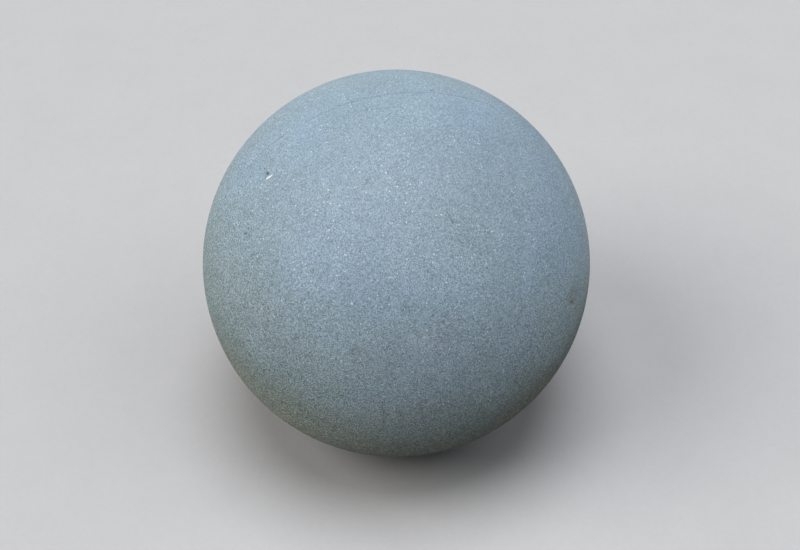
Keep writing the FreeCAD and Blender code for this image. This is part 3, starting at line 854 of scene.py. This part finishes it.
def rusty_bar():
    """Mill-scaled reinforcing bar with light rust."""
    s = Shader("bar_steel_scaled")
    rust = s.span(s.noise(9 * MM, 5.0, 0.65), 0.46, 0.62)
    scale = s.shade((0.10, 0.10, 0.11, 1.0), s.span(s.noise(3 * MM, 3.0), 0.3, 0.7, 0.7, 1.3, False))
    orange = s.mix(s.noise(2 * MM, 3.0), (0.20, 0.075, 0.03, 1.0), (0.34, 0.15, 0.06, 1.0))
    s.set(Base_Color=s.mix(rust, scale, orange))
    s.set(Metallic=s.span(rust, 0.0, 1.0, 0.85, 0.0, False))
    s.set(Roughness=s.span(rust, 0.0, 1.0, 0.48, 0.93, False))
    s.bump(s.plus(s.noise(1.5 * MM, 4.0, 0.7), s.times(rust, 0.5)), 0.12 * MM)
    return s.material


def drawn_steel(name, colour, rough, streak):
    """Drawn or plated bar: fine streaks along one direction, with a few dull patches."""
    s = Shader(name)
    stretch = s.add("ShaderNodeMapping", {"Vector": s.place, "Scale": streak})
    lines = s.noise(1.2 * MM, 4.0, 0.6, stretch.outputs[0])
    dull = s.span(s.noise(12 * MM, 3.0), 0.45, 0.7)
    value = s.times(s.span(lines, 0.3, 0.7, 0.86, 1.1, False), s.span(dull, 0.0, 1.0, 1.0, 0.82, False))
    s.set(Base_Color=s.shade(colour, value), Metallic=1.0)
    s.set(Roughness=s.plus(s.span(lines, 0.3, 0.7, rough - 0.05, rough + 0.08, False), s.times(dull, 0.15)))
    s.bump(lines, 0.03 * MM)
    return s.material


def moulded_plastic():
    """Black moulded plastic with a spark-eroded texture and dust in its hollows."""
    s = Shader("cap_plastic_moulded")
    texture = s.noise(0.8 * MM, 3.0, 0.7)
    dust = s.times(s.span(s.noise(6 * MM, 4.0, 0.65), 0.45, 0.75), 0.35)
    s.set(Base_Color=s.mix(dust, (0.028, 0.028, 0.029, 1.0), (0.19, 0.18, 0.16, 1.0)))
    s.set(Roughness=s.span(texture, 0.3, 0.7, 0.5, 0.68, False))
    s.bump(texture, 0.06 * MM)
    return s.material


def ragged(directions, size, seed, amount):
    """Noise that breaks up the edge of a painted mark."""
    return amount * noise(directions * BALL_RADIUS, size, seed)


def spot(paint, directions):
    """A painted mark with a ragged edge: its amount in the middle, fading to 0 over its edge."""
    mark = paint.mark
    reach = mark_distance(mark, directions)
    reach = reach + ragged(directions, mark.width * 0.35, paint.seed, paint.rough)
    return paint.amount * (1.0 - smooth(1.0 - paint.soft, 1.0 + paint.soft, reach))


def strongest(paints, directions):
    """The strongest of several painted marks at each direction."""
    total = np.zeros(len(directions))
    for paint in paints:
        total = np.maximum(total, spot(paint, directions))
    return total


def low_shade_and_damp(directions):
    """Painted shade towards the ground, with some damp there: 1 low down, reaching higher on the right of
    the front.
    """
    lean = 0.35 * smooth(-0.6, 0.3, -directions[:, 1])
    height = directions[:, 2] - lean * directions[:, 0]
    return 1.0 - smooth(-0.60, -0.05, height + ragged(directions, 90 * MM, 75, 0.06))


def paint_marks(piece, holes):
    """Paint chips, dirt, stains, growth, painted shade and painted highlights into a layer of a piece of
    the ball's skin.
    """
    mesh = piece.data
    places = np.empty(len(mesh.vertices) * 3)
    mesh.vertices.foreach_get("co", places)
    away = places.reshape(-1, 3) - CENTRE
    reach = np.linalg.norm(away, axis=1)
    directions = away / reach[:, None]
    outer = surface_radius(directions, ())
    outside = smooth(outer - PAINT_END, outer - PAINT_DEPTH, reach)
    # The joint's painted shadow and painted highlight.
    joint_shadow, joint_highlight = joint_lines(away)
    # Pale paint: the chip and pale spots, and the joint's painted highlight.
    fresh_and_highlight = np.maximum(strongest(PALE_PAINT, directions), JOINT_HIGHLIGHT_AMOUNT * joint_highlight)
    pinholes = [Paint(mark, 0.45, 0.5, 71, 0.15) for mark in holes]
    dirt_and_shade = strongest((*DARK_PAINT, *pinholes), directions)
    # Painted shade towards the ground, with some damp.
    dirt_and_shade = np.maximum(dirt_and_shade, GROUND_SHADE_AND_DAMP * low_shade_and_damp(directions))
    # The joint's painted shadow.
    dirt_and_shade = np.maximum(dirt_and_shade, JOINT_SHADOW_AMOUNT * joint_shadow)
    brown = strongest(BROWN_PAINT, directions)
    layer = mesh.color_attributes.new("marks", "FLOAT_COLOR", "POINT")
    channels = np.stack([fresh_and_highlight, dirt_and_shade, brown, growth_of(directions)], axis=1) * outside[:, None]
    layer.data.foreach_set("color", channels.ravel().astype(np.float32))


def joint_lines(away):
    """A painted shadow along the top of the joint, and a painted highlight on the edge in front of it."""
    from_joint = away @ FRONT_POLE
    in_joint = away - np.outer(from_joint, FRONT_POLE)
    turn = np.degrees(np.arctan2(in_joint @ np.cross(FRONT_POLE, X_AXIS), in_joint @ X_AXIS))
    broken = 0.55 + 0.45 * smooth(-0.5, 0.5, noise(away, 22 * MM, 74))
    # The painted shadow, just behind the joint over part of its length.
    dark = 1.0 - smooth(0.5 * MM, 3.2 * MM, np.abs(from_joint + 1.6 * MM))
    dark *= smooth(34, 52, turn) * (1.0 - smooth(90, 106, turn))
    # The painted highlight, in front of the joint where its edge catches the light.
    light = 1.0 - smooth(0.6 * MM, 2.6 * MM, np.abs(from_joint - 3.8 * MM))
    catching_light = smooth(104, 112, turn) * (1.0 - smooth(124, 134, turn))
    light *= np.maximum(catching_light, 0.4 * smooth(56, 66, turn) * (1.0 - smooth(150, 166, turn)))
    return dark * broken, light * broken


def growth_of(directions):
    """How much growth the surface carries: most near the ground, on the left and low on the right front."""
    height = directions[:, 2]
    wavy = 0.13 * noise(directions, 0.40, 81) + 0.08 * noise(directions, 0.12, 82)
    low = 1.0 - smooth(-0.60, 0.15, height + wavy)
    behind = 1.0 - smooth(-0.14, 0.0, directions @ FRONT_POLE)
    film = 1.0 - smooth(-0.20, 0.75, height + wavy)
    flank = smooth(0.30, 0.95, -directions[:, 0] - 0.3 * height + wavy)
    shaded = smooth(0.25, 0.60, directions[:, 0] + wavy) * (1.0 - smooth(-0.20, 0.40, height + wavy))
    shaded *= smooth(-0.5, 0.1, -directions[:, 1])
    veil = 1.0 - smooth(0.40, 0.70, height + wavy)
    thick = 0.50 * low + 0.22 * film + 0.09 * veil + 0.10 * behind + 0.20 * flank + 0.32 * shaded
    return np.clip(thick, 0.0, 1.0)


def give_material(node, material):
    """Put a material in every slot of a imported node."""
    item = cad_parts[node]
    if not item.material_slots:
        item.data.materials.append(material)
    for held in item.material_slots:
        held.link = "OBJECT"
        held.material = material


stone = weathered_stone("cast_stone_weathered", 2.2 * MM, 0.72 * MM)
for side, pole, seed in (("front", FRONT_POLE, SEED), ("back", -FRONT_POLE, SEED + 1)):
    half = half_mesh(f"weathered_half_{side}", pole, seed)
    cut_beds(half, side)
    if side == "back":
        cut_socket_bed(half)
    paint_marks(half, random_pinholes(pole, seed))
    finish_piece(half, stone)
    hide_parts(f"cast_half_{side}")
    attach(half, "ball")

pointing = mortar_mesh()
cut_away(pointing, joined_copy("dowels", ["joint_dowels"]))
paint_marks(pointing, ())
finish_piece(pointing, weathered_stone("joint_mortar_fine", 1.5 * MM, 0.9 * MM))
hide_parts("joint_mortar")
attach(pointing, "ball")

block = plain_grain("spacer_mortar_coarse", grey(0.40, 0.05), 2.2 * MM, 0.14, 0.9, 0.5 * MM, grey(0.6))
resin = plain_grain("anchor_resin_filled", grey(0.30, 0.12), 0.8 * MM, 0.10, 0.45, 0.1 * MM, grey(0.5))
beads = foam()
bar = rusty_bar()
stainless = drawn_steel("stainless_dowel_drawn", (0.60, 0.60, 0.59, 1.0), 0.30, (1.0, 0.08, 1.0))
plated = drawn_steel("socket_steel_plated", (0.66, 0.65, 0.58, 1.0), 0.34, (1.0, 1.0, 0.2))
give_material("joint_dowels", stainless)
give_material("lifting_socket", plated)
give_material("socket_cross_bar", plated)
give_material("socket_cap", moulded_plastic())
for side in ("front", "back"):
    give_material(f"dowel_resin_{side}", resin)
    give_material(f"void_former_{side}", beads)
    give_material(f"core_spacers_{side}", block)
    for name in ("rim_hoop", "crown_hoop", "outer_stirrup", "inner_stirrup"):
        give_material(f"{name}_{side}", bar)


# The floor's half width, its drop below the seat and the grey that the light bouncing off it sees.
FLOOR_REACH = 30.0
FLOOR_DROP = 0.3 * MM
FLOOR_BOUNCE = (0.24, 0.24, 0.24, 1.0)

# How bright the background is as a light, and as the camera sees it.
SKY_LIGHT = 0.012
SKY_SEEN = 0.62

Light = namedtuple("Light", "name azimuth elevation strength colour")
LIGHTS = (
    Light("overhead", 0, 90, 2.27, (0.98, 1.0, 1.03)),
    Light("left", -85, 45, 1.80, (1.03, 1.0, 0.95)),
    Light("right", 66, 52, 0.68, (0.97, 1.0, 1.02)),
    Light("under", -60, -55, 0.12, (1.0, 1.0, 1.0)),
    Light("behind", 175, -30, 0.40, (1.0, 1.0, 1.0)),
)
LIGHT_SPREAD = math.radians(36)

# The camera's direction from the ball, its lens, its distance in ball radii and where it aims.
CAMERA_AZIMUTH = -11.6
CAMERA_ELEVATION = 45
CAMERA_LENS = 71.0
CAMERA_SENSOR = 36.0
CAMERA_DISTANCE = 8.2
AIM_RIGHT = 4.7 * MM
AIM_DOWN = 15.1 * MM


def floor():
    """A plain pale floor that isn't part of the ball: clear from below, and to the light from below."""
    near, far = -FLOOR_REACH, FLOOR_REACH
    corners = [(near, near, 0.0), (far, near, 0.0), (far, far, 0.0), (near, far, 0.0)]
    mesh = bpy.data.meshes.new("floor")
    mesh.from_pydata(corners, [], [(0, 1, 2, 3)])
    item = new_object("floor", mesh)
    item.location.z = -FLOOR_DROP
    material = plain_grain("floor_pale", (0.46, 0.46, 0.47, 1.0), 6.0 * MM, 0.012, 0.85, 0.05 * MM)
    tree = material.node_tree
    surface = tree.nodes["Principled BSDF"]
    path = tree.nodes.new("ShaderNodeLightPath")
    seen = path.outputs["Is Camera Ray"]
    dim = tree.nodes.new("ShaderNodeMix")
    dim.data_type = "RGBA"
    dim.inputs[6].default_value = FLOOR_BOUNCE
    tree.links.new(surface.inputs["Base Color"].links[0].from_socket, dim.inputs[7])
    tree.links.new(seen, dim.inputs[0])
    tree.links.new(dim.outputs[2], surface.inputs["Base Color"])
    from_below = tree.nodes.new("ShaderNodeNewGeometry").outputs["Backfacing"]
    either = tree.nodes.new("ShaderNodeMath")
    either.operation = "MAXIMUM"
    tree.links.new(from_below, either.inputs[0])
    tree.links.new(path.outputs["Is Shadow Ray"], either.inputs[1])
    clear = tree.nodes.new("ShaderNodeBsdfTransparent").outputs[0]
    choice = tree.nodes.new("ShaderNodeMixShader")
    tree.links.new(either.outputs[0], choice.inputs[0])
    tree.links.new(surface.outputs[0], choice.inputs[1])
    tree.links.new(clear, choice.inputs[2])
    tree.links.new(choice.outputs[0], tree.nodes["Material Output"].inputs["Surface"])
    mesh.materials.append(material)


def soft_light(light):
    """A broad soft light from one direction."""
    lamp = bpy.data.lights.new(light.name, "SUN")
    lamp.energy = light.strength
    lamp.angle = LIGHT_SPREAD
    lamp.color = light.colour
    item = bpy.data.objects.new(light.name, lamp)
    towards = -Vector(direction(light.azimuth, light.elevation))
    item.rotation_euler = towards.to_track_quat("-Z", "Y").to_euler()
    bpy.context.scene.collection.objects.link(item)


def studio():
    """Soft lights, strongest from above and from the left, and a pale background behind the floor."""
    scene = bpy.context.scene
    scene.view_settings.view_transform = "Standard"
    world = bpy.data.worlds.new("studio")
    world.use_nodes = True
    nodes, links = world.node_tree.nodes, world.node_tree.links
    background = nodes["Background"]
    background.inputs["Color"].default_value = (0.97, 0.98, 1.0, 1.0)
    seen = nodes.new("ShaderNodeLightPath").outputs["Is Camera Ray"]
    strength = nodes.new("ShaderNodeMapRange")
    strength.inputs["To Min"].default_value = SKY_LIGHT
    strength.inputs["To Max"].default_value = SKY_SEEN
    links.new(seen, strength.inputs["Value"])
    links.new(strength.outputs[0], background.inputs["Strength"])
    scene.world = world
    for light in LIGHTS:
        soft_light(light)


def camera():
    """A long view down onto the ball from its front left, with the ball a little above the middle."""
    back = Vector(direction(CAMERA_AZIMUTH, CAMERA_ELEVATION))
    right = Vector(direction(CAMERA_AZIMUTH + 90, 0))
    lens = bpy.data.cameras.new("view")
    lens.lens = CAMERA_LENS
    lens.sensor_width = CAMERA_SENSOR
    item = bpy.data.objects.new("view", lens)
    target = Vector(CENTRE) + right * AIM_RIGHT - back.cross(right) * AIM_DOWN
    item.location = target + back * BALL_RADIUS * CAMERA_DISTANCE
    item.rotation_euler = (-back).to_track_quat("-Z", "Y").to_euler()
    bpy.context.scene.collection.objects.link(item)
    bpy.context.scene.camera = item


floor()
studio()
camera()
